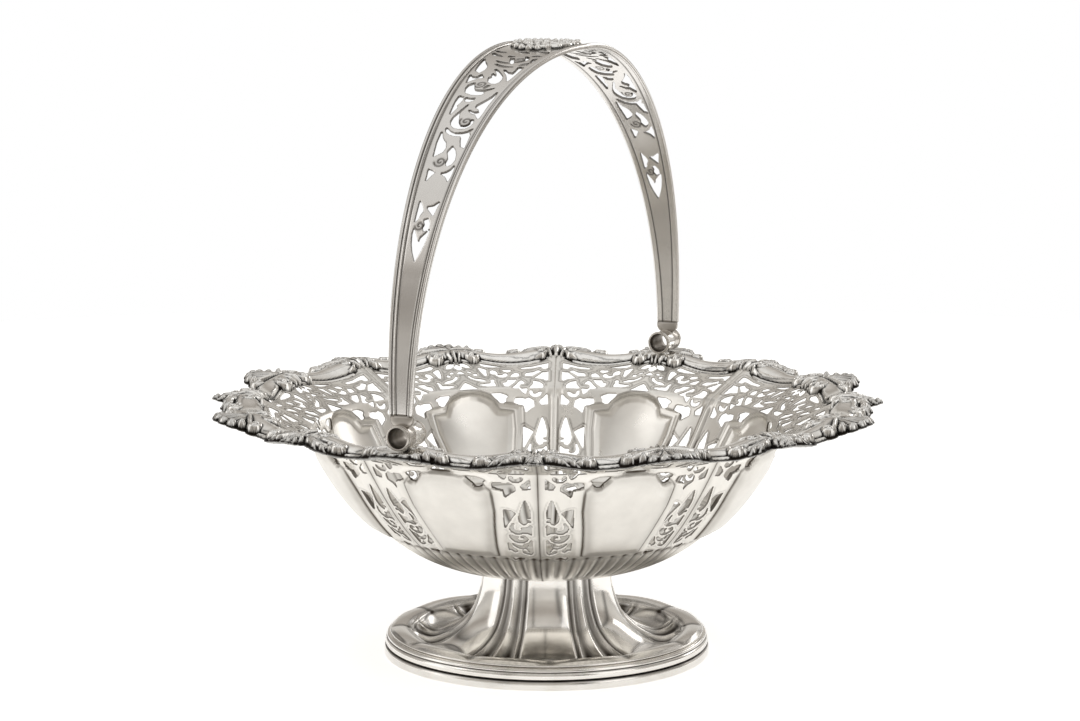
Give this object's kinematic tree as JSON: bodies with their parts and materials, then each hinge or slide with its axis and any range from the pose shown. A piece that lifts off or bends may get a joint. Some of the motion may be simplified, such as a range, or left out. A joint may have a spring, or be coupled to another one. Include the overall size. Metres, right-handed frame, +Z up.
{
  "type": "swing handled cake basket",
  "caption": "Silver basket on a trumpet foot, with a pierced bowl of plain panels, a cast scroll and shell border, and a pierced swing handle.",
  "frame": {"origin": "centre of the foot's underside, on the surface that the basket stands on", "axes": "+Z up, +Y along the handle's hinge line, X across the handle"},
  "size_m": [0.2996, 0.2996, 0.2682],
  "materials": {
    "sheet_silver": "polished silver sheet, softened by old hand polishing",
    "foot_silver": "polished silver with brown-grey tarnish in its hollows",
    "handle_silver": "polished silver strip",
    "hinge_silver": "polished silver tube, dark inside",
    "cast_silver": "cast and chased silver, bright on high points and dark in its recesses"
  },
  "bodies": {
    "basket": {"base_skirt": "foot_silver", "base_reed_ring": "foot_silver", "foot_pedestal": "foot_silver", "bowl": "sheet_silver", "border_section_1": "cast_silver", "border_section_2": "cast_silver", "border_section_3": "cast_silver", "border_section_4": "cast_silver", "border_section_5": "cast_silver", "border_section_6": "cast_silver", "border_section_7": "cast_silver", "border_section_8": "cast_silver", "hinge_lug_back": "cast_silver", "hinge_lug_front": "cast_silver", "hinge_pin_back": "hinge_silver", "hinge_pin_front": "hinge_silver"},
    "handle": {"handle_knuckle_back": "hinge_silver", "handle_knuckle_front": "hinge_silver", "handle_bow": "handle_silver", "handle_edge_wire_left": "handle_silver", "handle_edge_wire_right": "handle_silver", "handle_crest": "cast_silver"}
  },
  "joints": [
    {"name": "handle_swing", "type": "hinge", "parent": "basket", "child": "handle", "pos_m": [0, 0, 0.1184], "axis": [0, 1, 0], "range_deg": [-82, 82]}
  ]
}
